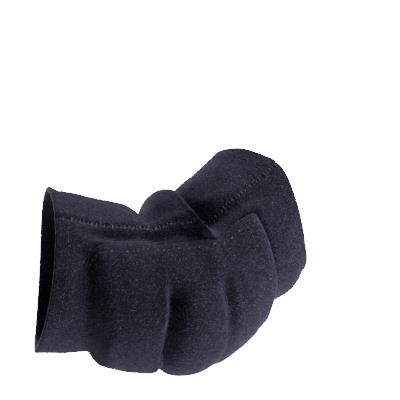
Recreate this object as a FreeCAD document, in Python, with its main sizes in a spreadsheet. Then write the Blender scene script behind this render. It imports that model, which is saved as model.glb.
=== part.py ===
"""Elbow pad: a knitted sleeve with a three-cell foam pad over the point of the elbow.

The sleeve is modelled as it sits on an arm bent by 70 degrees. The origin is on the elbow's
hinge axis, which is the Y axis. The upper arm lies along -X and the forearm rises towards
+X and +Z. Lengths are in millimetres and angles in degrees.

Every piece comes from one family of envelopes. An envelope is an elliptical tube in three
spans: straight along the upper arm, turned about an axis inside the elbow, and tapering up the
forearm. Envelopes differ only in how far they are grown from the outer face of the plain knit.
The space between two of them is a layer, and half spaces square to the side view say which
stretch of a layer a piece takes, so the two sides of the sleeve match.
"""

import FreeCAD, Part
import math
import os

Vector = FreeCAD.Vector
Rotation = FreeCAD.Rotation

doc = FreeCAD.newDocument("ElbowPad")

# ---------------------------------------------------------------- driving dimensions

DIMENSIONS = [
    # how far the arm is bent, and the axis inside the elbow that the crook turns about
    ("bend", 70.0),
    ("pivot_x", -32.8),
    ("pivot_z", 79.5),
    # elliptical sections: from the pivot to the inner edge, then the depth and the width
    ("crook_clear", 6.5),
    ("sleeve_depth", 103.5),
    ("sleeve_width", 98.0),
    ("upper_end_x", -112.0),
    ("fore_end_at", 130.0),
    ("fore_end_shift", 10.0),
    ("fore_end_depth", 72.0),
    ("fore_end_width", 71.8),
    # layers, measured outwards from the face of the plain knit
    ("knit_face", 0.0),
    ("knit_back", -1.6),
    ("cover_face", 5.5),
    ("cover_back", 3.9),
    ("foam_face", 3.8),
    ("foam_back", -4.0),
    ("lining_face", -4.1),
    ("lining_back", -5.2),
    ("cover_core", -6.2),
    ("hem_face", 0.7),
    ("hem_back", -4.2),
    ("elastic_face", -1.1),
    ("elastic_back", -2.9),
    ("tunnel_face", -1.0),
    ("tunnel_back", -3.0),
    ("thread_face", 0.9),
    ("thread_back", 0.1),
    ("web_face", -3.6),
    # the two rims, their hems and the elastic inside them
    ("upper_rim_x", -94.0),
    ("upper_rim_z", 20.0),
    ("upper_rim_angle", 4.6),
    ("forearm_rim_x", 43.0),
    ("forearm_rim_z", 87.0),
    ("forearm_rim_angle", 224.5),
    ("hem_width", 10.0),
    ("elastic_margin", 2.0),
    ("slack", 0.1),
    # side seams between the inner and the outer panels
    ("upper_seam_x", -60.0),
    ("upper_seam_z", 44.5),
    ("upper_seam_angle", 91.0),
    ("forearm_seam_x", 20.0),
    ("forearm_seam_z", 81.5),
    ("forearm_seam_angle", 136.0),
    ("seam_half", 2.4),
    # the outline of the pad, seen from the side
    ("pad_start_x", -59.0),
    ("pad_top_x", -41.0),
    ("pad_top_z", 37.5),
    ("pad_top_angle", -79.0),
    ("pad_corner_x", 17.0),
    ("pad_corner_z", 60.0),
    ("pad_corner_angle", -44.0),
    ("pad_end_x", 51.0),
    ("pad_end_z", 40.0),
    ("pad_end_angle", 202.0),
    # the two sewn channels, and the wall of the cover beside them
    ("channel_one_x", -9.0),
    ("channel_one_z", -30.0),
    ("channel_one_angle", 11.0),
    ("channel_two_x", 28.5),
    ("channel_two_z", -18.5),
    ("channel_two_angle", 12.0),
    ("channel_half", 0.8),
    ("web_half", 0.6),
    ("cover_wall", 1.6),
    # planes that part the plain knit into upper arm, bunched elbow and forearm
    ("upper_part_angle", 215.0),
    ("fore_part_x", -18.0),
    ("fore_part_z", 84.0),
    ("fore_part_angle", 41.0),
    ("part_gap", 0.4),
    # the roll of bunched knit inside the elbow
    ("roll_gap", 0.3),
    ("roll_length", 50.0),
    # larger than any piece, for half spaces
    ("reach", 320.0),
]

sheet = doc.addObject("Spreadsheet::Sheet", "Dimensions")
for row, (alias, value) in enumerate(DIMENSIONS, start=1):
    sheet.set(f"A{row}", alias)
    sheet.set(f"B{row}", str(value))
    sheet.setAlias(f"B{row}", alias)
doc.recompute()


def size(alias):
    """The value of one cell of the sheet."""
    return float(sheet.get(alias))


def add(kind, name, **expressions):
    """A document object whose sizes are bound to expressions on the sheet."""
    thing = doc.addObject(kind, name)
    for prop, expression in expressions.items():
        thing.setExpression(prop, expression)
    return thing


# ---------------------------------------------------------------- envelopes and layers


def direction(turn):
    """The way along the arm, a number of degrees round the crook from the upper arm."""
    return Vector(math.cos(math.radians(turn)), 0, math.sin(math.radians(turn)))


def section(end, face, middle, turn):
    """An elliptical section square to the arm, grown by the height of a layer's face."""
    ellipse = add(
        "Part::Ellipse",
        f"section_{end}_{face}",
        MajorRadius=f"Dimensions.{end}_depth / 2 + Dimensions.{face}",
        MinorRadius=f"Dimensions.{end}_width / 2 + Dimensions.{face}",
    )
    along = direction(turn)
    inner = direction(turn + 90)
    frame = Rotation(inner, along.cross(inner), along, "XYZ")
    ellipse.Placement = FreeCAD.Placement(middle, frame)
    return ellipse


def crook_middle(turn):
    """The middle of the crook's section at one angle."""
    pivot = Vector(size("pivot_x"), 0, size("pivot_z"))
    return pivot - direction(turn + 90) * (size("crook_clear") + size("sleeve_depth") / 2)


def upper_envelope(face):
    """The solid inside one face of a layer, along the upper arm."""
    middle = crook_middle(0)
    middle.x = size("upper_end_x")
    tube = add("Part::Extrusion", "upper", LengthFwd="Dimensions.pivot_x - Dimensions.upper_end_x")
    tube.Base = section("sleeve", face, middle, 0)
    tube.DirMode = "Custom"
    tube.Dir = direction(0)
    tube.Solid = True
    return tube


def crook_envelope(face):
    """The solid inside one face of a layer, round the elbow."""
    bend = add("Part::Revolution", "crook", Angle="Dimensions.bend")
    bend.Source = section("sleeve", face, crook_middle(0), 0)
    bend.Axis = Vector(0, -1, 0)
    bend.Base = Vector(size("pivot_x"), 0, size("pivot_z"))
    bend.Solid = True
    return bend


def fore_envelope(face):
    """The solid inside one face of a layer, up the forearm."""
    turn = size("bend")
    end = direction(turn) * size("fore_end_at") - direction(turn + 90) * size("fore_end_shift")
    tube = doc.addObject("Part::Loft", "fore")
    tube.Sections = [
        section("sleeve", face, crook_middle(turn), turn),
        section("fore_end", face, end, turn),
    ]
    tube.Solid = True
    tube.Ruled = True
    return tube


layers = {}


def layer(outer_face, inner_face):
    """The space between two envelopes, open at both ends of the sleeve."""
    if (outer_face, inner_face) not in layers:
        spans = []
        for envelope in (upper_envelope, crook_envelope, fore_envelope):
            spans.append(cut("span", envelope(outer_face), envelope(inner_face)))
        layers[outer_face, inner_face] = join(f"layer_{outer_face}_{inner_face}", *spans)
    return layers[outer_face, inner_face]


# ---------------------------------------------------------------- half spaces


def half_space(x, z, angle, shift=0.0):
    """A large box whose one face holds (x, z) and whose inside lies towards an angle."""
    box = add(
        "Part::Box",
        "half_space",
        Length="Dimensions.reach",
        Width="Dimensions.reach",
        Height="Dimensions.reach",
    )
    turn = Rotation(Vector(0, 1, 0), -angle)
    back = size("reach") / 2
    corner = Vector(x, 0, z) + turn.multVec(Vector(shift, -back, -back))
    box.Placement = FreeCAD.Placement(corner, turn)
    return box


def plane(name, shift=0.0, flip=False):
    """The half space that three cells of the sheet describe, moved inwards by a shift."""
    angle = size(f"{name}_angle") + (180 if flip else 0)
    return half_space(size(f"{name}_x"), size(f"{name}_z"), angle, shift)


def right_of(alias, shift=0.0):
    """Everything further along +X than a cell of the sheet."""
    return half_space(size(alias), 0, 0, shift)


def upper_part(shift=0.0, flip=False):
    """The upper arm's side of the plane through the axis that ends the rigid upper knit."""
    return half_space(0, 0, size("upper_part_angle") + (180 if flip else 0), shift)


def common(name, *things):
    """What several objects share."""
    both = doc.addObject("Part::MultiCommon", name)
    both.Shapes = list(things)
    return both


def cut(name, base, tool):
    """One object with another taken away."""
    rest = doc.addObject("Part::Cut", name)
    rest.Base = base
    rest.Tool = tool
    return rest


def join(name, *things):
    """Several objects as one."""
    whole = doc.addObject("Part::MultiFuse", name)
    whole.Shapes = list(things)
    return whole


# ---------------------------------------------------------------- the pad and its three cells


def pad_outline(shift=0.0):
    """What bounds the whole pad: its start, its top edge, which rises at the elbow, its end."""
    top = join("pad_top", plane("pad_top", shift), plane("pad_corner", shift))
    return [right_of("pad_start_x", shift), top, plane("pad_end", shift)]


def cell_outline(cell, shift=0.0):
    """The pad's outline with the channels that bound one cell."""
    side = size("channel_half") + shift
    bounds = pad_outline(shift)
    if cell == "upper":
        bounds.append(plane("channel_one", side, True))
    if cell == "elbow":
        bounds.append(plane("channel_one", side))
        bounds.append(plane("channel_two", side, True))
    if cell == "forearm":
        bounds.append(plane("channel_two", side))
    return bounds


def pad_cover(cell):
    """Knit cover of one cell: a cap whose walls turn down to the lining all round."""
    block = common(f"block_{cell}", layer("cover_face", "lining_back"), *cell_outline(cell))
    wall = size("cover_wall")
    core = common(f"core_{cell}", layer("cover_back", "cover_core"), *cell_outline(cell, wall))
    return cut(f"cover_{cell}", block, core)


def foam_cell(cell):
    """The foam that fills one cell."""
    inside = size("cover_wall") + size("slack")
    return common(f"foam_{cell}", layer("foam_face", "foam_back"), *cell_outline(cell, inside))


def pad_lining(cell):
    """The lining that closes one cell towards the arm."""
    inside = size("cover_wall") + size("slack")
    return common(f"lining_{cell}", layer("lining_face", "lining_back"), *cell_outline(cell, inside))


def channel_web(channel):
    """The narrow strip of cover and lining that a channel's stitches hold together."""
    half = size("web_half")
    sides = [plane(channel, -half), plane(channel, -half, True)]
    return common(f"web_{channel}", layer("web_face", "lining_back"), *pad_outline(), *sides)


# ---------------------------------------------------------------- the plain knit


def outside_pad(name, knit):
    """A panel of plain knit with the pad's window cut out of it."""
    window = common(f"window_{name}", layer("cover_face", "cover_core"), *pad_outline(-size("slack")))
    return cut(name, knit, window)


def inner_panel(side):
    """The panel on the inner side of the arm, from the hem to the bunched elbow."""
    knit = layer("knit_face", "knit_back")
    return common(f"inner_{side}", knit, beyond_hem(side), rigid(side), plane(f"{side}_seam"))


def outer_panel(side):
    """The panel on the outer side of the arm, round the pad's window."""
    knit = layer("knit_face", "knit_back")
    beyond_seam = plane(f"{side}_seam", flip=True)
    whole = common(f"outer_{side}", knit, beyond_hem(side), rigid(side), beyond_seam)
    return outside_pad(f"outer_{side}_panel", whole)


def beyond_hem(side):
    """Everything on the elbow's side of a hem."""
    return plane(f"{side}_rim", size("hem_width"))


def rigid(side):
    """The stretch of knit that moves with one half of the arm."""
    if side == "upper":
        return upper_part(size("part_gap"))
    return plane("fore_part", size("part_gap"))


def elbow_fold():
    """The knit that bunches inside the elbow and runs down both sides to the pad."""
    knit = layer("knit_face", "knit_back")
    between = [upper_part(flip=True), plane("fore_part", flip=True)]
    skin = outside_pad("fold_skin", common("fold_knit", knit, *between))
    roll = add(
        "Part::Cylinder",
        "roll",
        Radius="Dimensions.crook_clear - Dimensions.roll_gap",
        Height="Dimensions.roll_length",
    )
    start = Vector(size("pivot_x"), size("roll_length") / 2, size("pivot_z"))
    roll.Placement = FreeCAD.Placement(start, Rotation(Vector(1, 0, 0), 90))
    fold = doc.addObject("Part::Compound", "fold")
    fold.Links = [skin, roll]
    return fold


def side_seam(side):
    """The flat band of stitches over one side seam, near and far."""
    half = size("seam_half")
    band = [plane(f"{side}_seam", -half), plane(f"{side}_seam", -half, True)]
    thread = layer("thread_face", "thread_back")
    return common(f"seam_{side}", thread, beyond_hem(side), rigid(side), *band)


# ---------------------------------------------------------------- hems and elastics


def hem(side):
    """The knit turned in at a rim, with the tunnel that holds the elastic."""
    rim = f"{side}_rim"
    width = size("hem_width")
    margin = size("elastic_margin")
    folded = common(
        f"hem_{side}_folded",
        layer("hem_face", "hem_back"),
        plane(rim),
        plane(rim, -width + size("slack"), True),
    )
    tunnel = common(
        f"hem_{side}_tunnel",
        layer("tunnel_face", "tunnel_back"),
        plane(rim, margin),
        plane(rim, -width + margin, True),
    )
    return cut(f"hem_{side}", folded, tunnel)


def elastic(side):
    """The flat elastic inside one hem."""
    rim = f"{side}_rim"
    width = size("hem_width")
    margin = size("elastic_margin") + size("slack")
    return common(
        f"elastic_{side}",
        layer("elastic_face", "elastic_back"),
        plane(rim, margin),
        plane(rim, -width + margin, True),
    )


# ---------------------------------------------------------------- the assembly

PARTS = {
    "elbow_fold": elbow_fold(),
    "channel_seam_upper": channel_web("channel_one"),
    "channel_seam_forearm": channel_web("channel_two"),
}
for side in ("upper", "forearm"):
    PARTS[f"inner_panel_{side}"] = inner_panel(side)
    PARTS[f"outer_panel_{side}"] = outer_panel(side)
    PARTS[f"side_seam_{side}"] = side_seam(side)
    PARTS[f"hem_{side}"] = hem(side)
    PARTS[f"elastic_{side}"] = elastic(side)
for cell in ("upper", "elbow", "forearm"):
    PARTS[f"pad_cover_{cell}"] = pad_cover(cell)
    PARTS[f"foam_cell_{cell}"] = foam_cell(cell)
    PARTS[f"pad_lining_{cell}"] = pad_lining(cell)

for node, thing in PARTS.items():
    thing.Label = node
doc.recompute()

for thing in doc.Objects:
    if {"Invalid", "Error"} & set(thing.State):
        raise RuntimeError(f"{thing.Name} did not build: {thing.State}")
for node, thing in PARTS.items():
    shape = thing.Shape
    if shape.isNull() or not shape.isValid() or not shape.Solids:
        raise RuntimeError(f"{node} has no valid solid")
    print(f"{node}: {len(shape.Solids)} solids, {shape.Volume / 1000:.2f} cm3")

os.makedirs("parts", exist_ok=True)
for node, thing in PARTS.items():
    thing.Shape.exportStep(f"parts/{node}.step")
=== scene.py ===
"""Looks of the elbow pad: a brushed knit sleeve on a bent elbow, with a three-cell padded dome.

The sleeve is drawn on ribs. A rib runs from the inner side of the arm to the outer side, seen
square on, and carries one rounded section. Every piece is a patch of the same sleeve: `across`
counts ribs from the upper rim to the forearm rim, `angle` goes round the section in degrees
from the inner side, and `lift` is the height above the plain knit in millimetres.
"""

import math

import bpy
import numpy as np
from mathutils import Matrix, Vector, noise
from mathutils.bvhtree import BVHTree


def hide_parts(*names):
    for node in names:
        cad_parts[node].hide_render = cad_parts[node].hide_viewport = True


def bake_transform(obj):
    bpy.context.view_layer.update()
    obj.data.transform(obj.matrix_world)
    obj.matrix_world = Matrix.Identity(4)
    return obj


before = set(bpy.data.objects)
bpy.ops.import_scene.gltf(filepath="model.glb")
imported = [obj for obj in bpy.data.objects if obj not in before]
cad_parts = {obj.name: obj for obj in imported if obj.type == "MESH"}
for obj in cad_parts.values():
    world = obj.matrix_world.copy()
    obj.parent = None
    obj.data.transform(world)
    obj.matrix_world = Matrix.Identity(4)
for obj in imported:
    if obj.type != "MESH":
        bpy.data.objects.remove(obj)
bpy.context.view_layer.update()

MM = 0.001

# ------------------------------------------------------------------ the sleeve's ribs

# inner end (x, z), outer end (x, z), half width, all in millimetres
RIBS = np.array([
    (-98.0, 73.5, -89.5, -27.8, 50.0),   # upper rim
    (-82.0, 73.3, -75.0, -25.9, 49.5),
    (-66.0, 72.5, -59.0, -25.6, 49.0),   # the pad starts here
    (-50.5, 71.3, -37.0, -26.4, 49.0),
    (-44.8, 69.3, -20.0, -26.3, 48.5),
    (-41.0, 68.2, -5.0, -25.6, 48.5),    # hollow before the hump
    (-37.0, 72.0, 8.0, -23.0, 48.5),
    (-34.0, 76.5, 18.6, -18.4, 48.0),
    (-30.8, 78.6, 27.8, -11.4, 47.5),
    (-28.2, 79.4, 34.8, -4.2, 47.0),
    (-26.2, 79.8, 39.2, 1.6, 46.7),
    (-24.6, 80.2, 41.0, 3.6, 46.5),
    (-23.2, 80.8, 42.8, 5.6, 46.5),
    (-21.4, 82.2, 44.6, 7.8, 46.0),
    (-18.0, 86.0, 48.6, 13.2, 45.5),
    (-11.4, 92.9, 54.5, 22.5, 44.5),     # the pad ends here
    (-1.4, 104.5, 68.4, 33.8, 43.0),
    (9.6, 117.5, 75.4, 47.6, 41.5),      # forearm rim
])
LAST_RIB = len(RIBS) - 1
SQUARENESS = 2.12   # the power of the section's rounded form; 2 is an ellipse

# how far the bunched knit of the crook moves each rib's inner side, in (x, z)
FOLD = np.zeros((len(RIBS), 2))
FOLD[7:15] = [
    (0.2, 2.0),
    (2.0, 5.0),
    (4.5, 4.4),
    (5.4, 1.9),
    (0.6, -0.8),
    (-4.8, -5.0),
    (-4.2, -5.8),
    (-1.5, -2.0),
]
FOLD_ANGLES = (24, 84)   # whole up to the first angle, gone from the second

FOREARM_RIM_OUT = (6.4, 10.2)   # the forearm's cuff reaches further on its sides
UPPER_RIM_IN = (3.6, -0.3)      # and the upper cuff a little less far
CUFF_RIBS = 14.2                # rib where the forearm's cuff starts to reach further
CUFF_CORNER_RIBS = 15.2         # and the one where the corners of that cuff do


def spline(values, at):
    """A smooth curve through the rows of a table, read at fractional row numbers."""
    at = np.clip(at, 0, len(values) - 1)
    first = np.clip(np.floor(at).astype(int), 0, len(values) - 2)
    t = (at - first)[..., None]
    last = len(values) - 1
    p0 = values[np.clip(first - 1, 0, last)]
    p1, p2 = values[first], values[first + 1]
    p3 = values[np.clip(first + 2, 0, last)]
    m1, m2 = (p2 - p0) / 2, (p3 - p1) / 2
    m1 = np.where((first == 0)[..., None], p2 - p1, m1)
    m2 = np.where((first == last - 1)[..., None], p2 - p1, m2)
    t2, t3 = t * t, t * t * t
    return (2 * t3 - 3 * t2 + 1) * p1 + (t3 - 2 * t2 + t) * m1 + (3 * t2 - 2 * t3) * p2 + (t3 - t2) * m2


def curve(points, at):
    """A smooth function through (where, value) pairs, level beyond its ends."""
    where, value = np.array(points, float).T
    row = np.interp(at, where, np.arange(len(where)))
    return spline(value[:, None], row)[..., 0]


def bump(at, middle, width):
    """A soft bell, one at its middle."""
    return np.exp(-(((at - middle) / width) ** 2))


def ramp(at, low, high):
    """Zero below low, one above high, smooth between."""
    t = np.clip((at - low) / (high - low), 0, 1)
    return t * t * (3 - 2 * t)


def fade(at, low, high):
    """One below low, zero above high, smooth between."""
    return ramp(-at, -high, -low)


def rounded(value):
    """Cosine or sine of a section that is a little squarer than an ellipse."""
    return np.sign(value) * np.abs(value) ** (2 / SQUARENESS)


def folded(angle):
    """Angle from the inner side, the same near and far: 0 inside the elbow, 180 outside."""
    return 180 - np.abs(np.mod(angle, 360) - 180)


def sleeve(across, angle, lift=0.0):
    """Points on the sleeve, in metres."""
    across, angle, lift = np.broadcast_arrays(
        np.asarray(across, float), np.asarray(angle, float), np.asarray(lift, float)
    )
    a = folded(angle)
    rib = spline(RIBS, across)
    inner = rib[..., 0:2] + spline(FOLD, across) * fade(a, *FOLD_ANGLES)[..., None]
    outer, half = rib[..., 2:4], rib[..., 4]
    middle, arm = (inner + outer) / 2, (inner - outer) / 2
    depth = np.linalg.norm(arm, axis=-1)
    way = arm / depth[..., None]
    turn = np.radians(angle)
    c, s = np.cos(turn), np.sin(turn)
    up, side = c / depth, s / half
    size = np.hypot(up, side)
    up, side = up / size, side / size
    high = rounded(c) * depth + up * lift
    wide = rounded(s) * half + side * lift
    corners = 0.25 * bump(a, 80, 16) - 0.12 * bump(a, 132, 22)
    to_forearm = s * s * (1 + 0.55 * c) * ramp(across, CUFF_RIBS, LAST_RIB)
    to_forearm = to_forearm + corners * ramp(across, CUFF_CORNER_RIBS, LAST_RIB)
    to_upper = s * s * fade(across, 0, 1.6)
    x, z = (
        middle[..., k] + way[..., k] * high + FOREARM_RIM_OUT[k] * to_forearm + UPPER_RIM_IN[k] * to_upper
        for k in range(2)
    )
    return np.stack([x, -wide, z], axis=-1) * MM


# ------------------------------------------------------------------ lines and folds of the sleeve

# angle of the side seam, along the ribs
SIDE_SEAM = [(0, 63.5), (1.7, 65), (3, 60.5), (4.5, 55.5), (6.5, 57.5), (8, 63.5), (10, 66.5)]
SIDE_SEAM += [(14, 68), (16, 71.5), (17, 75)]
# the pad's top edge, along the ribs
PAD_TOP = [(1.3, 81), (2.6, 76.5), (4.3, 68.5), (6, 70), (7.5, 75.5), (10.8, 81.5)]
PAD_TOP += [(14.8, 84.5), (16, 85.5)]
# the lip of the fold in the crook, as (angle, rib)
LIP = [(0, 9.9), (31, 9.4), (58, 9.7), (71, 10.6), (82, 11.6)]
# the other lines of the pad as (angle, rib)
PAD_START = [(70, 1.5), (100, 1.62), (132, 1.85), (157, 2.08), (180, 2.25)]
CHANNEL_ONE = [(70, 5.35), (95, 5.1), (113, 4.87), (132, 4.58), (155, 4.42), (180, 4.5)]
CHANNEL_TWO = [(70, 9.4), (108, 8.6), (126, 8.23), (147, 7.8), (165, 7.2), (180, 7.0)]
PAD_END = [(75, 15.6), (107, 15.46), (126, 15.35), (143, 15.21), (162, 14.93), (180, 14.85)]

# heights, depths and lifts are in millimetres, widths in ribs or in degrees as their line runs
LIP_HEIGHT, LIP_WIDTH = 4.4, 1.0
LIP_BACK_HEIGHT, LIP_BACK_WIDTH = 2.0, 1.4   # the swell that leads up to the lip
GROOVE_DEPTH, GROOVE_BEYOND, GROOVE_WIDTH = 8.6, 3.1, 1.35
VALLEY_DEPTH = 1.8       # beside the hump
HOLLOW_DEPTH = 3.5       # between the side seam and the pad
SEAM_DEPTH, SEAM_RIDGE = 0.45, 0.6
PUCKER = 0.14            # of the knit along its side seam
START_DIP = 3.2          # pressed into the knit by the pad's start
START_DIP_WIDTH = 0.42   # under the pad; it is wider on the cuff
START_ANGLES = (76, 92)  # where that dip begins and where it is whole
RIM_FLARE = 1.5
SUNK_UNDER_PAD = 1.6
# slack folds: height, angle at rib 0 and its change per rib, width, ribs over which each starts and ends
SLACK_FOLDS = (
    (1.2, 40, 3, 9, (1.0, 3.5), (5.5, 7.5)),
    (-1.0, 20, 5, 8, (0.8, 3), (4.5, 6.5)),
    (1.3, -118, 12, 7, (13.6, 14.6), (15, 16.4)),
    (2.0, 35, 3, 3.6, (13.2, 14.2), (15.2, 16)),
)


def seam_angle(across):
    return curve(SIDE_SEAM, across)


def pad_top_angle(across):
    return curve(PAD_TOP, across)


def wander(points, size, seed):
    """Smooth noise over points in metres; size is in millimetres."""
    shift = Vector((seed * 7.31, seed * 3.77, seed * 5.13))
    flat = points.reshape(-1, 3) / (size * MM)
    values = [noise.noise(Vector(p) + shift) for p in flat]
    return np.array(values).reshape(points.shape[:-1])


def uneven(base):
    """Small unevenness that the knit and everything sewn to it share."""
    return 0.75 * wander(base, 27, 1) + 0.3 * wander(base, 10, 2)


def drape(across, angle):
    """How far the plain knit stands off its ribs, in millimetres."""
    a = folded(angle)
    seam = seam_angle(across)
    top = pad_top_angle(across)
    lift = np.zeros(np.broadcast(across, angle).shape)
    # the lip of bunched knit that laps over, and the groove behind it, down both sides
    down = fade(a, 68, 90) * (0.25 + 0.75 * ramp(a, 8, 42))
    lip = curve(LIP, a)
    lift = lift + down * LIP_HEIGHT * bump(across, lip, LIP_WIDTH)
    lift = lift + down * LIP_BACK_HEIGHT * bump(across, lip - 1.5, LIP_BACK_WIDTH)
    lift = lift - down * GROOVE_DEPTH * bump(across, lip + GROOVE_BEYOND, GROOVE_WIDTH)
    # a valley between the hump and the upper knit, which fades down the sides
    lift = lift - VALLEY_DEPTH * bump(across, 5.3, 0.8) * fade(a, 18, 58)
    # a hollow band between the side seam and the pad's top edge
    band = ramp(across, 0.9, 2.4) * fade(across, 8.2, 9.8)
    lift = lift - HOLLOW_DEPTH * bump(a, (seam + top) / 2 + 1.5, 4.8) * band
    # the knit pulls in at the seam and stands up above it
    lift = lift - SEAM_DEPTH * bump(a, seam, 1.3) + SEAM_RIDGE * bump(a, seam - 4.5, 3.2)
    # slack folds that run from the hollow towards the cuff, and from the crook up the forearm
    for height, at_rib_0, per_rib, width, starts, ends in SLACK_FOLDS:
        middle = at_rib_0 + per_rib * across
        lift = lift + height * bump(a, middle, width) * ramp(across, *starts) * fade(across, *ends)
    # the dip that the pad's start presses into the cuff, and the flare of the rim
    start, end = curve(PAD_START, a), curve(PAD_END, a)
    dip = bump(across, start, np.where(across < start, 0.62, START_DIP_WIDTH))
    lift = lift - START_DIP * dip * ramp(a, *START_ANGLES)
    lift = lift + RIM_FLARE * fade(across, 0.0, 0.45) * bump(a, 12, 30)
    # under the pad the knit sinks a little, so that the cover's edge sits in a crease
    under = ramp(a, top - 1.5, top + 3) * ramp(across, start - 0.02, start + 0.22)
    return lift - SUNK_UNDER_PAD * under * fade(across, end - 0.15, end + 0.1)


def knit_surface(across, angle, lift=0.0):
    """The plain knit with its folds and its small unevenness."""
    base = sleeve(across, angle)
    pucker = PUCKER * np.sin((1.05 * base[..., 0] + 0.7 * base[..., 2]) / MM)
    pucker = pucker * bump(folded(angle), seam_angle(across), 4)
    return sleeve(across, angle, drape(across, angle) + uneven(base) + pucker + lift)


# ------------------------------------------------------------------ meshes


def rib_steps(start, end, count):
    """Rib numbers with even spacing along the outer side and the inner side together."""
    fine = np.linspace(start, end, 4000)
    lines = [sleeve(fine, angle) for angle in (0.0, 90.0, 180.0)]
    step = sum(np.linalg.norm(np.diff(line, axis=0), axis=1) for line in lines)
    length = np.concatenate([[0], np.cumsum(step)])
    return np.interp(np.linspace(0, length[-1], count), length, fine)


def quads(rows, columns, around=False):
    """The faces of a grid, row by row; around closes the second direction."""
    i, j = np.meshgrid(np.arange(rows - 1), np.arange(columns if around else columns - 1), indexing="ij")
    k = (j + 1) % columns
    corners = [i * columns + j, i * columns + k, (i + 1) * columns + k, (i + 1) * columns + j]
    return np.stack(corners, -1).reshape(-1, 4)


def mesh_object(name, points, faces):
    """A smooth-shaded object in the scene from points and faces."""
    mesh = bpy.data.meshes.new(name)
    mesh.from_pydata([tuple(p) for p in points], [], faces)
    mesh.validate()
    mesh.shade_smooth()
    piece = bpy.data.objects.new(name, mesh)
    bpy.context.scene.collection.objects.link(piece)
    return piece


def grid_mesh(name, points, around=False, keep=None):
    """An object from a grid of points; keep says which of its faces stay."""
    rows, columns = points.shape[:2]
    faces = quads(rows, columns, around)
    if keep is not None:
        faces = faces[keep.reshape(-1)]
    used, faces = np.unique(faces, return_inverse=True)
    return mesh_object(name, points.reshape(-1, 3)[used], faces.reshape(-1, 4).tolist())


def closed_shell(name, upper, lower):
    """A closed piece from two grids, walled round their edges."""
    rows, columns = upper.shape[:2]
    count = rows * columns
    top = quads(rows, columns)
    ring = [*range(columns), *range(2 * columns - 1, count, columns)]
    ring += [*range(count - 2, count - columns - 1, -1), *range(count - 2 * columns, 0, -columns)]
    walls = [(ring[k], ring[k - 1], ring[k - 1] + count, ring[k] + count) for k in range(len(ring))]
    faces = top.tolist() + (top[:, ::-1] + count).tolist() + walls
    return mesh_object(name, np.concatenate([upper.reshape(-1, 3), lower.reshape(-1, 3)]), faces)


def apply_modifiers(piece):
    """Turns the piece with its modifiers into a plain mesh."""
    graph = bpy.context.evaluated_depsgraph_get()
    mesh = bpy.data.meshes.new_from_object(piece.evaluated_get(graph))
    piece.modifiers.clear()
    piece.data = mesh
    piece.data.shade_smooth()
    return piece


def thicken(piece, thickness):
    """Gives a sheet its thickness, inwards."""
    wall = piece.modifiers.new("wall", "SOLIDIFY")
    wall.thickness = thickness * MM
    wall.offset = -1.0
    wall.use_even_offset = False
    return apply_modifiers(piece)


def points_of(piece):
    places = np.empty(len(piece.data.vertices) * 3)
    piece.data.vertices.foreach_get("co", places)
    return places.reshape(-1, 3)


def set_points(piece, points):
    piece.data.vertices.foreach_set("co", np.asarray(points, float).ravel())
    piece.data.update()


# ------------------------------------------------------------------ shader expressions


class Value:
    """A socket that takes part in Python arithmetic."""

    def __init__(self, paint, socket):
        self.paint, self.socket = paint, socket

    def _math(self, operation, *others):
        return self.paint.node("ShaderNodeMath", {"operation": operation}, [self, *others])

    def __add__(self, other):
        return self._math("ADD", other)

    __radd__ = __add__

    def __mul__(self, other):
        return self._math("MULTIPLY", other)

    __rmul__ = __mul__

    def clip(self, low, high):
        """Zero at low, one at high."""
        settings = {"clamp": True, "interpolation_type": "SMOOTHSTEP"}
        return self.paint.node("ShaderNodeMapRange", settings, [self, low, high, 0.0, 1.0])


class Paint:
    """One material and the nodes in it."""

    def __init__(self, name):
        self.material = bpy.data.materials.new(name)
        self.material.use_nodes = True
        self.tree = self.material.node_tree
        self.surface = self.tree.nodes["Principled BSDF"]

    def node(self, kind, settings=None, inputs=(), output=0):
        made = self.tree.nodes.new(kind)
        for key, value in (settings or {}).items():
            setattr(made, key, value)
        pairs = inputs.items() if isinstance(inputs, dict) else enumerate(inputs)
        for key, value in pairs:
            self.feed(made.inputs[key], value)
        return Value(self, made.outputs[output])

    def feed(self, socket, value):
        if isinstance(value, Value):
            self.tree.links.new(value.socket, socket)
        elif value is not None:
            socket.default_value = value

    def place(self):
        return self.node("ShaderNodeTexCoord", output="Object")

    def noise(self, scale, detail=2.0, rough=0.5, place=None):
        inputs = {"Vector": place or self.place(), "Scale": scale, "Detail": detail, "Roughness": rough}
        return self.node("ShaderNodeTexNoise", {}, inputs)

    def mix(self, share, first, second):
        settings = {"data_type": "RGBA", "clamp_factor": True}
        return self.node("ShaderNodeMix", settings, {0: share, 6: first, 7: second}, output=2)

    def bump(self, height, depth, strength=1.0, below=None):
        inputs = {"Height": height, "Distance": depth, "Strength": strength}
        if below is not None:
            inputs["Normal"] = below
        return self.node("ShaderNodeBump", {}, inputs)


def colour(red, green, blue):
    """A linear colour from one written in display values of 0 to 255."""
    linear = [((c / 255 + 0.055) / 1.055) ** 2.4 if c > 10 else c / 255 / 12.92 for c in (red, green, blue)]
    return (*linear, 1.0)


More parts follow.
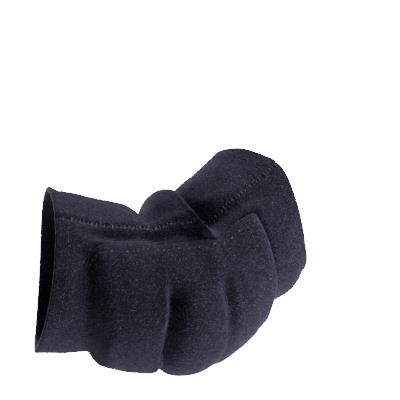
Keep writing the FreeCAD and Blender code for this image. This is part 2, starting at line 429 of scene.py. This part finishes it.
def brushed_knit(name, dark, light, flecks, painted_glint, sheen):
    """Brushed stretch knit: short nap, fine rows of stitches, pale specks, painted glints and a purple
    sheen.
    """
    paint = Paint(name)
    cloudy = paint.noise(30.0, 3.0, 0.6).clip(0.36, 0.66)
    nap = paint.noise(2400.0, 2.0, 0.6)
    tufts = paint.noise(1000.0, 2.0, 0.55)
    specks = nap.clip(0.47, 0.68) * tufts.clip(0.36, 0.62)
    base = paint.mix(cloudy, colour(*dark), colour(*light))
    shade = paint.mix(tufts.clip(0.62, 0.34) * 0.6, base, colour(*[c * 0.35 for c in dark]))
    hue = paint.noise(1500.0, 1.0).clip(0.4, 0.6)
    fuzzy = paint.mix(specks * 0.36, shade, paint.mix(hue, colour(*flecks[0]), colour(*flecks[1])))
    # painted glints: sparse pale sparkle specks mixed into the knit's colour
    tone = paint.mix(nap.clip(0.64, 0.76) * 0.26, fuzzy, colour(*painted_glint))
    paint.feed(paint.surface.inputs["Base Color"], tone)
    paint.feed(paint.surface.inputs["Roughness"], tufts * 0.2 + 0.72)
    surface = paint.surface.inputs
    surface["Specular IOR Level"].default_value = 0.16
    surface["Sheen Weight"].default_value = 0.10
    surface["Sheen Roughness"].default_value = 0.55
    surface["Sheen Tint"].default_value = colour(*sheen)
    rows = paint.node(
        "ShaderNodeTexWave",
        {"wave_type": "BANDS", "bands_direction": "Z"},
        {"Vector": paint.place(), "Scale": 230.0, "Distortion": 2.6, "Detail": 1.0, "Detail Scale": 3.0},
        output=1,
    )
    fuzz = paint.bump(nap, 0.0005, 0.6)
    knitted = paint.bump(rows, 0.00016, 0.3, below=fuzz)
    soft = paint.bump(tufts, 0.0009, 0.55, below=knitted)
    paint.feed(paint.surface.inputs["Normal"], soft)
    return paint.material


def plain_cloth(name, dark, light, scale):
    """A close fine cloth for linings, elastic, foam and thread."""
    paint = Paint(name)
    share = paint.noise(scale, 3.0, 0.6).clip(0.35, 0.65)
    paint.feed(paint.surface.inputs["Base Color"], paint.mix(share, colour(*dark), colour(*light)))
    paint.feed(paint.surface.inputs["Roughness"], share * 0.1 + 0.85)
    paint.surface.inputs["Specular IOR Level"].default_value = 0.2
    paint.surface.inputs["Sheen Weight"].default_value = 0.15
    paint.feed(paint.surface.inputs["Normal"], paint.bump(paint.noise(scale * 3), 0.0004, 0.5))
    return paint.material


MATERIALS = {
    "knit": brushed_knit(
        "knit_brushed_navy",
        dark=(7, 7, 9),
        light=(13, 12, 16),
        flecks=((136, 98, 160), (94, 96, 148)),
        # colour of the painted glints on the nap
        painted_glint=(196, 182, 222),
        sheen=(166, 142, 216),
    ),
    "lining": plain_cloth("lining_knit", (9, 9, 11), (15, 15, 18), 500.0),
    "elastic": plain_cloth("elastic_woven", (30, 30, 33), (48, 47, 52), 700.0),
    "foam": plain_cloth("foam_grey", (62, 62, 66), (84, 84, 88), 300.0),
    "thread": plain_cloth("thread_twisted", (38, 36, 48), (104, 98, 124), 900.0),
    "dark_thread": plain_cloth("thread_dark", (28, 26, 36), (84, 78, 102), 900.0),
}


def dress(piece, material):
    piece.data.materials.clear()
    piece.data.materials.append(MATERIALS[material])
    return piece


def follow_elbow(piece, slot, *nodes):
    """Bakes the piece's transform into its points and hides the CAD nodes that it stands for."""
    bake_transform(piece)
    if nodes:
        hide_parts(*nodes)
    return piece


# ------------------------------------------------------------------ stitches

STITCH_INPUTS = {
    "Length": "NodeSocketFloat",
    "Thickness": "NodeSocketFloat",
    "Seed": "NodeSocketInt",
    "Thread": "NodeSocketMaterial",
}
# step between stitches, length and thickness in millimetres; slants in degrees, in turn
SIDE_SLANTS, EDGE_SLANTS = (66, 44, 78, 57, 70, 50), (34, 10, 44, 20, -8)
SIDE_STITCH = dict(step=2.5, length=2.6, thickness=0.36, slants=SIDE_SLANTS, thread="thread", seed=3)
HEM_STITCH = dict(step=2.8, length=1.9, thickness=0.3, slants=(0,), thread="dark_thread", seed=8)
EDGE_STITCH = dict(step=3.2, length=1.6, thickness=0.38, slants=EDGE_SLANTS, thread="thread", seed=5)
CHANNEL_STITCH = dict(step=3.0, length=2.1, thickness=0.36, slants=(0,), thread="dark_thread", seed=6)


def stitch_tree():
    """Lays an arched bit of thread on every point of a path, along it and turned by its slant."""
    tree = bpy.data.node_groups.new("sewn_stitches", "GeometryNodeTree")
    tree.interface.new_socket("Geometry", in_out="INPUT", socket_type="NodeSocketGeometry")
    for name, kind in STITCH_INPUTS.items():
        tree.interface.new_socket(name, in_out="INPUT", socket_type=kind)
    tree.interface.new_socket("Geometry", in_out="OUTPUT", socket_type="NodeSocketGeometry")

    def node(kind, settings=None, **links):
        made = tree.nodes.new(kind)
        for key, value in (settings or {}).items():
            setattr(made, key, value)
        for key, value in links.items():
            socket = made.inputs[int(key[1:])] if key[1:].isdigit() else made.inputs[key.replace("_", " ")]
            if isinstance(value, bpy.types.NodeSocket):
                tree.links.new(value, socket)
            else:
                socket.default_value = value
        return made

    given = node("NodeGroupInput").outputs
    arch = node("GeometryNodeCurveQuadraticBezier", Resolution=5, Start=(-0.5, 0, -0.1),
                Middle=(0, 0, 0.5), End=(0.5, 0, -0.1))
    arch_size = node("ShaderNodeCombineXYZ", X=given["Length"], Y=given["Length"], Z=given["Thickness"])
    sized = node("GeometryNodeTransform", Geometry=arch.outputs[0], Scale=arch_size.outputs[0])
    radius = node("ShaderNodeMath", {"operation": "MULTIPLY"}, _0=given["Thickness"], _1=0.5)
    round_wire = node("GeometryNodeCurvePrimitiveCircle", Resolution=6, Radius=radius.outputs[0])
    thread = node("GeometryNodeCurveToMesh", Curve=sized.outputs[0], Profile_Curve=round_wire.outputs[0],
                  Fill_Caps=True)
    out = node("GeometryNodeInputNamedAttribute", {"data_type": "FLOAT_VECTOR"}, Name="out")
    along = node("GeometryNodeInputNamedAttribute", {"data_type": "FLOAT_VECTOR"}, Name="along")
    slant = node("GeometryNodeInputNamedAttribute", {"data_type": "FLOAT"}, Name="slant")
    upright = node("FunctionNodeAlignRotationToVector", {"axis": "Z"}, Vector=out.outputs[0])
    facing = node("FunctionNodeAlignRotationToVector", {"axis": "X", "pivot_axis": "Z"},
                  Rotation=upright.outputs[0], Vector=along.outputs[0])
    lean = node("FunctionNodeAxisAngleToRotation", Axis=(0, 0, 1), Angle=slant.outputs[0])
    turned = node("FunctionNodeRotateRotation", {"rotation_space": "LOCAL"},
                  Rotation=facing.outputs[0], Rotate_By=lean.outputs[0])
    size = node("FunctionNodeRandomValue", {"data_type": "FLOAT"}, _2=0.5, _3=1.2, Seed=given["Seed"])
    laid = node("GeometryNodeInstanceOnPoints", Points=given["Geometry"], Instance=thread.outputs[0],
                Rotation=turned.outputs[0], Scale=size.outputs[1])
    real = node("GeometryNodeRealizeInstances", Geometry=laid.outputs[0])
    dressed = node("GeometryNodeSetMaterial", Geometry=real.outputs[0], Material=given["Thread"])
    node("NodeGroupOutput", Geometry=dressed.outputs[0])
    return tree


STITCH_TREE = stitch_tree()


def evenly(points, normals, step):
    """Places, directions and normals at even steps along a line of points."""
    length = np.concatenate([[0], np.cumsum(np.linalg.norm(np.diff(points, axis=0), axis=1))])
    at = np.arange(step * MM / 2, length[-1], step * MM)
    place = np.stack([np.interp(at, length, points[:, k]) for k in range(3)], -1)
    out = np.stack([np.interp(at, length, normals[:, k]) for k in range(3)], -1)
    ahead = np.stack([np.interp(at + 0.2 * MM, length, points[:, k]) for k in range(3)], -1)
    behind = np.stack([np.interp(at - 0.2 * MM, length, points[:, k]) for k in range(3)], -1)
    along = ahead - behind
    return place, along / np.linalg.norm(along, axis=1)[:, None], out / np.linalg.norm(out, axis=1)[:, None]


def sew(name, lines, step, length, thickness, slants, thread, seed):
    """One piece of stitches along several lines, each a pair of points and normals."""
    runs = [evenly(points, normals, step) for points, normals in lines]
    place, along, out = (np.concatenate([run[k] for run in runs]) for k in range(3))
    path = mesh_object(name, place + out * thickness * MM * 0.2, [])
    slant = np.radians(np.resize(slants, len(place)))
    for label, kind, part, values in (
        ("along", "FLOAT_VECTOR", "vector", along),
        ("out", "FLOAT_VECTOR", "vector", out),
        ("slant", "FLOAT", "value", slant),
    ):
        layer = path.data.attributes.new(label, kind, "POINT")
        layer.data.foreach_set(part, np.ravel(values).astype(np.float32))
    modifier = path.modifiers.new("stitches", "NODES")
    modifier.node_group = STITCH_TREE
    values = {"Length": length * MM, "Thickness": thickness * MM, "Seed": seed, "Thread": MATERIALS[thread]}
    for item in STITCH_TREE.interface.items_tree:
        if item.in_out == "INPUT" and item.name in values:
            modifier[item.identifier] = values[item.name]
    return apply_modifiers(path)


def on_knit(across, angle, side=1):
    """Points and normals along a line on the knit, on one side of the sleeve."""
    across, angle = np.broadcast_arrays(across, side * np.asarray(angle, float))
    points = knit_surface(across, angle)
    return points, knit_surface(across, angle, 1.0) - points


def on_grid(points, row=None, column=None):
    """Points and outward normals along one row or column of a grid of points."""
    along = np.gradient(points, axis=0)
    round_ = np.gradient(points, axis=1)
    normals = np.cross(round_, along)
    normals /= np.linalg.norm(normals, axis=-1)[..., None]
    if row is None:
        return points[:, column], normals[:, column]
    return points[row], normals[row]


# ------------------------------------------------------------------ the knit panels

RIB_COUNT = 230
INNER_COLUMNS, OUTER_COLUMNS = 140, 200
KNIT_THICKNESS = 1.5
WINDOW_MARGIN = 5.0   # the outer panel reaches this far under the pad
UPPER_RIB_LENGTH, FOREARM_RIB_LENGTH = 16.0, 19.0
RIM_GAP = 1.6


def panel_ribs():
    """Rib numbers of a panel, from rim to rim."""
    start = RIM_GAP / UPPER_RIB_LENGTH
    return rib_steps(start, LAST_RIB - RIM_GAP / FOREARM_RIB_LENGTH, RIB_COUNT)[:, None]


def inner_panel():
    """The panel on the inner side of the arm, with the hump and the lip in the crook."""
    across = panel_ribs()
    share = np.linspace(-1, 1, INNER_COLUMNS)[None, :]
    piece = grid_mesh("inner_panel", knit_surface(across, share * seam_angle(across)))
    dress(thicken(piece, KNIT_THICKNESS), "knit")
    return follow_elbow(piece, "knit", "inner_panel_upper", "inner_panel_forearm", "elbow_fold")


def inside_pad(across, angle):
    """Rough distance inside the pad's outline, in millimetres."""
    a = folded(angle)
    from_top = (a - pad_top_angle(across)) * 0.85
    from_start = (across - curve(PAD_START, a)) * UPPER_RIB_LENGTH
    from_end = (curve(PAD_END, a) - across) * 12
    return np.minimum(np.minimum(from_top, from_start), from_end)


def outer_panel():
    """The panel on the outer side of the arm, with a window behind the pad's foam."""
    across = panel_ribs()
    share = np.linspace(0, 1, OUTER_COLUMNS)[None, :]
    seam = seam_angle(across)
    angle = seam + share * (360 - 2 * seam)
    middle = [(g[1:, 1:] + g[:-1, :-1]) / 2 for g in np.broadcast_arrays(across, angle)]
    piece = grid_mesh("outer_panel", knit_surface(across, angle), keep=inside_pad(*middle) < WINDOW_MARGIN)
    dress(thicken(piece, KNIT_THICKNESS), "knit")
    return follow_elbow(piece, "knit", "outer_panel_upper", "outer_panel_forearm")


# ------------------------------------------------------------------ side seams, hems and elastics

SEAM_RUNS = ((0.25, 9.6), (13.3, 16.85))   # ribs where the side seam shows, before and beyond the lip
SEAM_ROWS = (-0.7, 0.7)                    # its two rows of stitches, in degrees
HEM_THICKNESS = 1.2
HEM_DEPTH = 8.8                            # from the rim to the hem's stitches
RING_COLUMNS = 260


def side_seam():
    """Short slanted stitches over the seam between the panels, near and far."""
    lines = []
    for first, last in SEAM_RUNS:
        across = rib_steps(first, last, 400)
        for offset in SEAM_ROWS:
            lines += [on_knit(across, seam_angle(across) + offset, side) for side in (1, -1)]
    piece = sew("side_seam_stitches", lines, **SIDE_STITCH)
    return follow_elbow(piece, "thread", "side_seam_upper", "side_seam_forearm")


# distance in from the rim and lift, in millimetres, round the turned-in edge
HEM_PROFILE = [(2.0, -0.2), (1.4, 0.15), (0.7, 0.1), (0.15, -0.4), (-0.1, -1.2), (-0.05, -2.2)]
HEM_PROFILE += [(0.3, -3.2), (1.1, -3.9), (2.6, -4.2), (5.0, -4.25), (7.6, -4.2), (10.0, -4.1)]
ELASTIC_PROFILE = [(2.2, -1.75), (2.6, -1.6), (5.0, -1.6), (7.8, -1.6), (8.2, -1.75), (8.2, -2.55)]
ELASTIC_PROFILE += [(7.8, -2.7), (5.0, -2.7), (2.6, -2.7), (2.2, -2.55), (2.2, -1.75)]
RIMS = {"upper": (0.0, 1 / UPPER_RIB_LENGTH), "forearm": (float(LAST_RIB), -1 / FOREARM_RIB_LENGTH)}


def ring(name, rim, profile):
    """A band round one rim, drawn by a profile."""
    start, scale = RIMS[rim]
    inward, lift = np.array(profile).T
    angle = np.linspace(0, 360, RING_COLUMNS, endpoint=False)[None, :]
    across = start + inward[:, None] * scale
    if rim == "forearm":
        across, lift = across[::-1], lift[::-1]
    return grid_mesh(name, knit_surface(across, angle, lift[:, None]), around=True)


def hem(rim):
    """The knit turned in at a rim."""
    piece = thicken(ring(f"{rim}_hem", rim, HEM_PROFILE[::-1]), HEM_THICKNESS)
    dress(piece, "knit")
    return follow_elbow(piece, "knit", f"hem_{rim}")


def hem_stitches(rim):
    """A row of small stitches that holds the hem down."""
    start, scale = RIMS[rim]
    line = on_knit(np.full(700, start + HEM_DEPTH * scale), np.linspace(0, 360, 700))
    piece = sew(f"{rim}_hem_stitches", [line], **HEM_STITCH)
    return follow_elbow(piece, "thread")


def elastic(rim):
    """The flat elastic in a hem."""
    piece = ring(f"{rim}_elastic", rim, ELASTIC_PROFILE[::-1])
    dress(piece, "elastic")
    return follow_elbow(piece, "elastic", f"elastic_{rim}")


# ------------------------------------------------------------------ the pad

PAD_ROWS, PAD_COLUMNS = 131, 141
CHANNEL_SHARES = (0.0, 0.33, 0.62, 1.0)   # where the start, the two channels and the end lie along the pad
COVER_THICKNESS, LINING_THICKNESS = 1.4, 0.9
LINING_LIFT, FOAM_BACK = -3.9, -3.7
CELLS = ("upper", "elbow", "forearm")
PROUD, PROUD_OUTSIDE = 2.4, 2.4           # height of the cover near the side seams, and its rise from there
SOFT_START, FULL_START = 16.0, 9.0        # reach of its rise from the start, on the side and outside
TUCK_DEPTH, TUCK_REACH, START_TUCK = 1.3, 3.0, 0.2
LOBE_SWELL = (1.4, 1.9, 1.4)
# share of the pad, depth, width before and after it, angles where it starts and where it eases, by how much
CHANNELS = (
    (CHANNEL_SHARES[1], 7.4, 2.4, 6.0, (90, 110), (150, 172), 0.5),
    (CHANNEL_SHARES[2], 3.6, 3.2, 4.8, (98, 118), (130, 155), 0.85),
)


def rise(distance, reach):
    """A quarter-round rise from an edge."""
    return np.sqrt(1 - (1 - np.clip(distance / reach, 0, 1)) ** 2)


def pad_lines(angle):
    """Rib numbers of the pad's start, its channels and its end at each angle."""
    a = folded(angle)
    return [curve(line, a) for line in (PAD_START, CHANNEL_ONE, CHANNEL_TWO, PAD_END)]


def pad_places(along, round_):
    """Rib numbers and angles over the pad: along from 0 to 1, round from -1 to 1."""
    along, round_ = np.broadcast_arrays(along, round_)
    narrow = 1 - 0.035 * (1 - rise(1 - along, 0.05)) - 0.10 * (1 - rise(along, 0.07))
    across = np.full(along.shape, 6.0)
    for _ in range(5):
        angle = 180 + round_ * narrow * (180 - pad_top_angle(across))
        lines = pad_lines(angle)
        across = lines[0]
        for k in range(3):
            low, high = CHANNEL_SHARES[k], CHANNEL_SHARES[k + 1]
            part = np.clip((along - low) / (high - low), 0, 1)
            across = across + part * (lines[k + 1] - lines[k])
    return across, angle


def running_length(points, axis):
    """Length along one direction of a grid, in millimetres, from its start."""
    length = np.cumsum(np.linalg.norm(np.diff(points, axis=axis), axis=-1) / MM, axis=axis)
    return np.pad(length, [(1, 0), (0, 0)] if axis == 0 else [(0, 0), (1, 0)])


PAD_ALONG = np.linspace(0, 1, PAD_ROWS)[:, None]
PAD_ROUND = np.linspace(-1, 1, PAD_COLUMNS)[None, :]
PAD_ACROSS, PAD_ANGLE = pad_places(PAD_ALONG, PAD_ROUND)
PAD_GROUND = sleeve(PAD_ACROSS, PAD_ANGLE)
PAD_FOLDED = folded(PAD_ANGLE)


def edge_distances():
    """Distance of each point of the pad's grid from its start, its end and its long edges."""
    along, round_ = running_length(PAD_GROUND, 0), running_length(PAD_GROUND, 1)
    return along, along[-1] - along, np.minimum(round_, round_[:, -1:] - round_)


def pad_crown():
    """Height of the pad's cover before its channels are sewn: a soft start, a full end and three lobes."""
    start, end, sides = edge_distances()
    a = PAD_FOLDED
    proud = PROUD + PROUD_OUTSIDE * ramp(a, 90, 128)
    late = ramp(PAD_ALONG, 0.08, 0.3)
    soft = ramp(sides, -1.0, 13.0)
    top_edge = late * (rise(sides, 10.0) + soft) / 2 + (1 - late) * soft
    reach = SOFT_START + (FULL_START - SOFT_START) * ramp(a, 138, 160)
    height = proud * ramp(start / reach, -0.06, 1.0) * rise(end, 9.0) * top_edge
    dip = bump(start, 0, START_DIP_WIDTH * UPPER_RIB_LENGTH)
    height = height - START_DIP * dip * ramp(a, *START_ANGLES)
    tucked = 1 - rise(np.minimum(end, sides), TUCK_REACH)
    height = height - TUCK_DEPTH * tucked * (0.25 + 0.75 * late) - START_TUCK
    for k in range(3):
        low, high = CHANNEL_SHARES[k], CHANNEL_SHARES[k + 1]
        part = np.clip((PAD_ALONG - low) / (high - low), 0, 1)
        height = height + LOBE_SWELL[k] * (4 * part * (1 - part)) ** 0.7 * ramp(a, 97, 135)
    return height


def channel_depth():
    """How far the two sewn channels pull the cover in."""
    start, end, sides = edge_distances()
    a = PAD_FOLDED
    depth = np.zeros_like(start)
    for share, deep, before, after, begins, eases, left in CHANNELS:
        row = share * (PAD_ROWS - 1)
        low = int(row)
        line = start[low] + (row - low) * (start[low + 1] - start[low])
        distance = start - line[None, :]
        shape = bump(distance, 0, np.where(distance < 0, before, after))
        depth = depth + deep * shape * ramp(a, *begins) * (1 - left * ramp(a, *eases))
    return depth * rise(sides, 10.0)


def on_pad(grid, along, round_):
    """A value of the pad's grid at shares along and round it."""
    row = np.clip(along, 0, 1) * (PAD_ROWS - 1)
    column = (np.clip(round_, -1, 1) + 1) / 2 * (PAD_COLUMNS - 1)
    i = np.clip(row.astype(int), 0, PAD_ROWS - 2)
    j = np.clip(column.astype(int), 0, PAD_COLUMNS - 2)
    s, t = row - i, column - j
    near = grid[i, j] * (1 - t) + grid[i, j + 1] * t
    far = grid[i + 1, j] * (1 - t) + grid[i + 1, j + 1] * t
    return near * (1 - s) + far * s


FOAM_MARGIN = 0.022                     # share of the pad that the foam leaves free beside a channel
FOAM_REACH = 0.92                       # share of the way round that it covers
FOAM_ROWS, FOAM_COLUMNS = 44, 110
VOXEL = 5.0
PRESSURE, FRAMES = 4.0, 20
MOST_SWELL = 5.0
HELD_BACK = 2.6                         # foam this close to its back doesn't move


def foam_shell(cell, height):
    """One foam cell before it is squeezed in: a closed crowned form."""
    k = CELLS.index(cell)
    along = np.linspace(CHANNEL_SHARES[k] + FOAM_MARGIN, CHANNEL_SHARES[k + 1] - FOAM_MARGIN, FOAM_ROWS)
    round_ = np.linspace(-FOAM_REACH, FOAM_REACH, FOAM_COLUMNS)[None, :]
    along, round_ = np.broadcast_arrays(along[:, None], round_)
    across, angle = pad_places(along, round_)
    part = np.linspace(0, 1, FOAM_ROWS)[:, None]
    pillow = rise(part, 0.16) * rise(1 - part, 0.16) * rise(1 - np.abs(round_) / FOAM_REACH, 0.07)
    top = np.maximum(on_pad(height, along, round_) - COVER_THICKNESS - 0.5, FOAM_BACK + 1.0)
    lift = FOAM_BACK + 0.4 + (top - FOAM_BACK - 0.4) * pillow
    bumpy = uneven(sleeve(across, angle))
    upper, lower = sleeve(across, angle, lift + bumpy), sleeve(across, angle, FOAM_BACK + bumpy)
    return closed_shell(f"foam_{cell}", upper, lower)


def squeezed(piece):
    """Swells a foam cell with cloth pressure, held along its back."""
    voxels = piece.modifiers.new("voxels", "REMESH")
    voxels.mode = "VOXEL"
    voxels.voxel_size = VOXEL * MM
    back = BVHTree.FromPolygons(
        [tuple(p) for p in sleeve(PAD_ACROSS, PAD_ANGLE, FOAM_BACK).reshape(-1, 3)],
        quads(PAD_ROWS, PAD_COLUMNS).tolist(),
    )
    apply_modifiers(piece)
    start = points_of(piece)
    held = [k for k, p in enumerate(start) if back.find_nearest(Vector(p))[3] < HELD_BACK * MM]
    piece.vertex_groups.new(name="held").add(held, 1.0, "REPLACE")
    cloth = piece.modifiers.new("cloth", "CLOTH")
    cloth.settings.quality = 6
    cloth.settings.mass = 0.2
    cloth.settings.tension_stiffness = 12
    cloth.settings.compression_stiffness = 12
    cloth.settings.bending_stiffness = 1.2
    cloth.settings.use_pressure = True
    cloth.settings.uniform_pressure_force = PRESSURE
    cloth.settings.vertex_group_mass = "held"
    cloth.settings.effector_weights.gravity = 0
    for step in range(1, FRAMES + 1):
        bpy.context.scene.frame_set(step)
    apply_modifiers(piece)
    bpy.context.scene.frame_set(1)
    moved = points_of(piece) - start
    length = np.linalg.norm(moved, axis=1)[:, None]
    set_points(piece, start + moved * np.minimum(1, MOST_SWELL * MM / np.maximum(length, 1e-9)))
    smooth = piece.modifiers.new("smooth", "SUBSURF")
    smooth.levels = smooth.render_levels = 1
    return apply_modifiers(piece)


def drawn_over(cells, height):
    """Height of the cover once it is drawn over the squeezed cells."""
    trees = [BVHTree.FromObject(cell, bpy.context.evaluated_depsgraph_get()) for cell in cells]
    bumpy = uneven(PAD_GROUND)
    origin = sleeve(PAD_ACROSS, PAD_ANGLE, 16.0)
    inward = sleeve(PAD_ACROSS, PAD_ANGLE, -2.0) - origin
    inward /= np.linalg.norm(inward, axis=-1)[..., None]
    found = np.full(height.shape, np.nan)
    for i in range(PAD_ROWS):
        for j in range(PAD_COLUMNS):
            reach = [t.ray_cast(Vector(origin[i, j]), Vector(inward[i, j]), 0.019)[3] for t in trees]
            reach = [r for r in reach if r is not None]
            if reach:
                found[i, j] = 16.0 - min(reach) / MM + COVER_THICKNESS + 0.3 - bumpy[i, j]
    swell = np.where(np.isnan(found), 0, np.clip(found - height, -0.6, 4.0))
    for _ in range(14):
        swell[1:-1, 1:-1] = (swell[:-2, 1:-1] + swell[2:, 1:-1] + swell[1:-1, :-2] + swell[1:-1, 2:]) / 4
    start, end, sides = edge_distances()
    return height + swell * ramp(start, 2, 20) * ramp(end, 2, 10) * ramp(sides, 2, 12)


def pad_cover(height):
    """The knit cover, drawn over its three foam cells and sewn to the panel all round, as its points."""
    fine = 0.22 * wander(PAD_GROUND, 9, 5) * rise(edge_distances()[2], 10)
    points = sleeve(PAD_ACROSS, PAD_ANGLE, height + fine + uneven(PAD_GROUND))
    piece = grid_mesh("pad_cover", points)
    dress(thicken(piece, COVER_THICKNESS), "knit")
    follow_elbow(piece, "knit", *[f"pad_cover_{cell}" for cell in CELLS])
    return points


def pad_backing():
    """The lining that closes the pad towards the arm."""
    points = sleeve(PAD_ACROSS, PAD_ANGLE, LINING_LIFT + uneven(PAD_GROUND))
    piece = dress(thicken(grid_mesh("pad_backing", points), LINING_THICKNESS), "lining")
    return follow_elbow(piece, "lining", *[f"pad_lining_{cell}" for cell in CELLS])


def pad_edge_stitches(points):
    """The row of stitches just inside the cover's edge."""
    lines = [on_grid(points, column=4), on_grid(points, column=-5), on_grid(points, row=-5)]
    piece = sew("pad_edge_stitches", lines, **EDGE_STITCH)
    return follow_elbow(piece, "thread")


def channel_stitches(points):
    """The stitches at the bottom of each channel."""
    lines = []
    for share in CHANNEL_SHARES[1:3]:
        places, normals = on_grid(points, row=round(share * (PAD_ROWS - 1)))
        low = np.where(PAD_FOLDED[0] > 112)[0]
        lines.append((places[low], normals[low]))
    piece = sew("channel_stitches", lines, **CHANNEL_STITCH)
    return follow_elbow(piece, "thread", "channel_seam_upper", "channel_seam_forearm")


def pad():
    """The whole pad: foam, cover, backing and stitches."""
    height = pad_crown()
    cells = [foam_shell(cell, height - channel_depth()) for cell in CELLS]
    cells = [squeezed(cell) for cell in cells]
    sewn = drawn_over(cells, height) - channel_depth()
    for cell, piece in zip(CELLS, cells):
        dress(piece, "foam")
        follow_elbow(piece, "foam", f"foam_cell_{cell}")
    points = pad_cover(sewn)
    pad_backing()
    pad_edge_stitches(points)
    channel_stitches(points)


# ------------------------------------------------------------------ camera, floor and lights

VIEW_WIDTH = 0.256                                   # at the target
VIEW_TARGET, VIEW_RIGHT, VIEW_UP = (0.014, 0, 0.024), -0.0052, 0.0598
AZIMUTH, ELEVATION, ROLL = (math.radians(a) for a in (-12, -17, 5.8))
FLOOR_SIZE, FLOOR_HEIGHT = 12.0, -0.32
ROOM_LIGHT, BACKDROP = 0.13, 40.0
# name, place in metres, watts, size
LAMPS = (
    ("key", (0.40, -0.26, 0.10), 0.75, 0.3),
    ("low_right", (0.38, -0.10, -0.26), 4.3, 0.25),
    ("top", (0.20, -0.20, 0.60), 9.0, 0.5),
    ("far_left", (-0.42, 0.60, 0.30), 5.0, 0.5),
    ("far_right", (0.40, 0.60, 0.05), 3.0, 0.5),
)


def camera():
    """Low and slightly to the left, rolled so that the upper arm dips to the right."""
    back = Vector((
        math.sin(AZIMUTH) * math.cos(ELEVATION),
        -math.cos(AZIMUTH) * math.cos(ELEVATION),
        math.sin(ELEVATION),
    ))
    turn = (-back).to_track_quat("-Z", "Y").to_matrix() @ Matrix.Rotation(ROLL, 3, "Z")
    right, up = turn @ Vector((1, 0, 0)), turn @ Vector((0, 1, 0))
    target = Vector(VIEW_TARGET) + right * VIEW_RIGHT + up * VIEW_UP
    data = bpy.data.cameras.new("camera")
    data.lens = 100
    view = bpy.data.objects.new("camera", data)
    bpy.context.scene.collection.objects.link(view)
    distance = VIEW_WIDTH * data.lens / data.sensor_width
    view.matrix_world = Matrix.Translation(target + back * distance) @ turn.to_4x4()
    bpy.context.scene.camera = view


def floor():
    """A plain pale floor, well below the object; it looks paler than the light it throws back."""
    square = ((-1, -1), (1, -1), (1, 1), (-1, 1))
    corners = [(x * FLOOR_SIZE, y * FLOOR_SIZE, FLOOR_HEIGHT) for x, y in square]
    piece = mesh_object("floor", corners, [(0, 1, 2, 3)])
    paint = Paint("floor_pale")
    share = paint.noise(3.0).clip(0.3, 0.7)
    pale = paint.mix(share, (0.66, 0.66, 0.67, 1), (0.72, 0.72, 0.72, 1))
    paint.feed(paint.surface.inputs["Base Color"], pale)
    paint.surface.inputs["Roughness"].default_value = 0.9
    glow = paint.node("ShaderNodeEmission", {}, {"Color": (1, 1, 1, 1), "Strength": 1.25})
    seen = paint.node("ShaderNodeLightPath")
    plain = Value(paint, paint.surface.outputs[0])
    either = paint.node("ShaderNodeMixShader", {}, [seen * 0.65, plain, glow])
    paint.feed(paint.tree.nodes["Material Output"].inputs["Surface"], either)
    piece.data.materials.append(paint.material)


def lights():
    """Soft studio light, strongest from the right; the backdrop is whiter than the light it gives."""
    world = bpy.data.worlds.new("studio")
    world.use_nodes = True
    nodes, links = world.node_tree.nodes, world.node_tree.links
    room = nodes["Background"]
    room.inputs["Color"].default_value = (1, 1, 1, 1)
    room.inputs["Strength"].default_value = ROOM_LIGHT
    backdrop = nodes.new("ShaderNodeBackground")
    backdrop.inputs["Strength"].default_value = BACKDROP
    seen = nodes.new("ShaderNodeLightPath")
    either = nodes.new("ShaderNodeMixShader")
    links.new(seen.outputs["Is Camera Ray"], either.inputs[0])
    links.new(room.outputs[0], either.inputs[1])
    links.new(backdrop.outputs[0], either.inputs[2])
    links.new(either.outputs[0], nodes["World Output"].inputs["Surface"])
    bpy.context.scene.world = world
    for name, place, power, size in LAMPS:
        data = bpy.data.lights.new(name, "AREA")
        data.energy, data.size = power, size
        lamp = bpy.data.objects.new(name, data)
        lamp.location = place
        lamp.rotation_mode = "QUATERNION"
        lamp.rotation_quaternion = (Vector(place) * -1).to_track_quat("-Z", "Y")
        bpy.context.scene.collection.objects.link(lamp)


camera()
floor()
lights()
inner, outer = inner_panel(), outer_panel()
seam = side_seam()
trims = [make(rim) for rim in RIMS for make in (hem, hem_stitches, elastic)]
pad()
